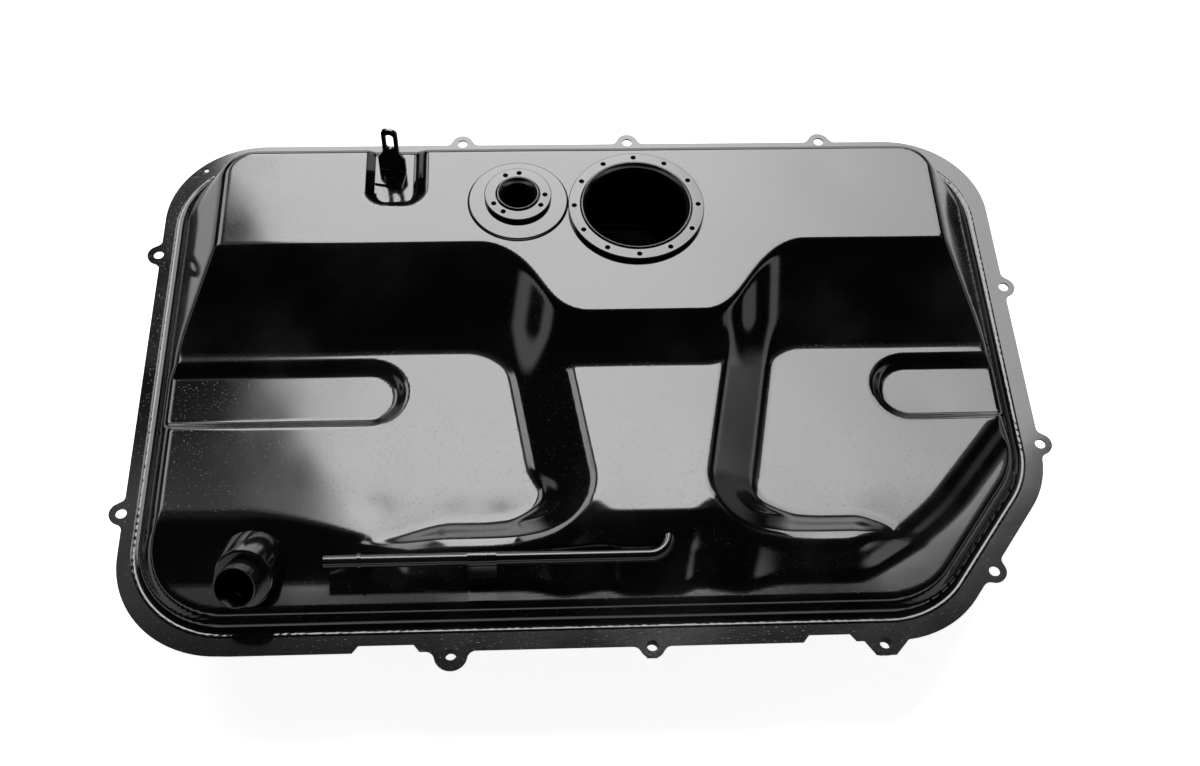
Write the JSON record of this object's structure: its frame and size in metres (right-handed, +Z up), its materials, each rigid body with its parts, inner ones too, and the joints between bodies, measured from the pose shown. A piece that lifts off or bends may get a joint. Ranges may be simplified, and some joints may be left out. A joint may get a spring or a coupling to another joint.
{
  "type": "car fuel tank",
  "caption": "Saddle shaped car fuel tank of two stamped steel shells with a bolting rim, screw rings for the pump and sender, filler stub and breather pipe.",
  "frame": {"origin": "on the floor's flat underside, midway between the left and right rims and between the front and rear rims", "axes": "+X to the tank's right along its longest side, +Y to the rear, +Z up through the pump opening"},
  "size_m": [0.902, 0.6285, 0.224],
  "materials": {
    "shell_paint": "gloss black paint over stamped steel",
    "ring_paint": "gloss black paint over turned steel",
    "pipe_paint": "gloss black paint over steel tube",
    "bare_steel": "bare steel inside the tank",
    "washer_aluminium": "soft sealing washer"
  },
  "bodies": {
    "root": {"upper_shell": "shell_paint", "lower_shell": "shell_paint", "pump_ring": "ring_paint", "sender_ring": "ring_paint", "pump_ring_weld_nuts": "bare_steel", "sender_ring_weld_nuts": "bare_steel", "front_ear_weld_nuts": "shell_paint", "rear_bracket": "shell_paint", "rear_bracket_nut": "shell_paint", "filler_stub": "pipe_paint", "filler_stub_collar": "pipe_paint", "breather_pipe": "pipe_paint", "pipe_clip": "pipe_paint", "baffle_left": "bare_steel", "baffle_right": "bare_steel", "swirl_pot": "bare_steel", "drain_boss": "bare_steel", "drain_washer": "washer_aluminium", "drain_plug": "bare_steel"}
  },
  "joints": []
}
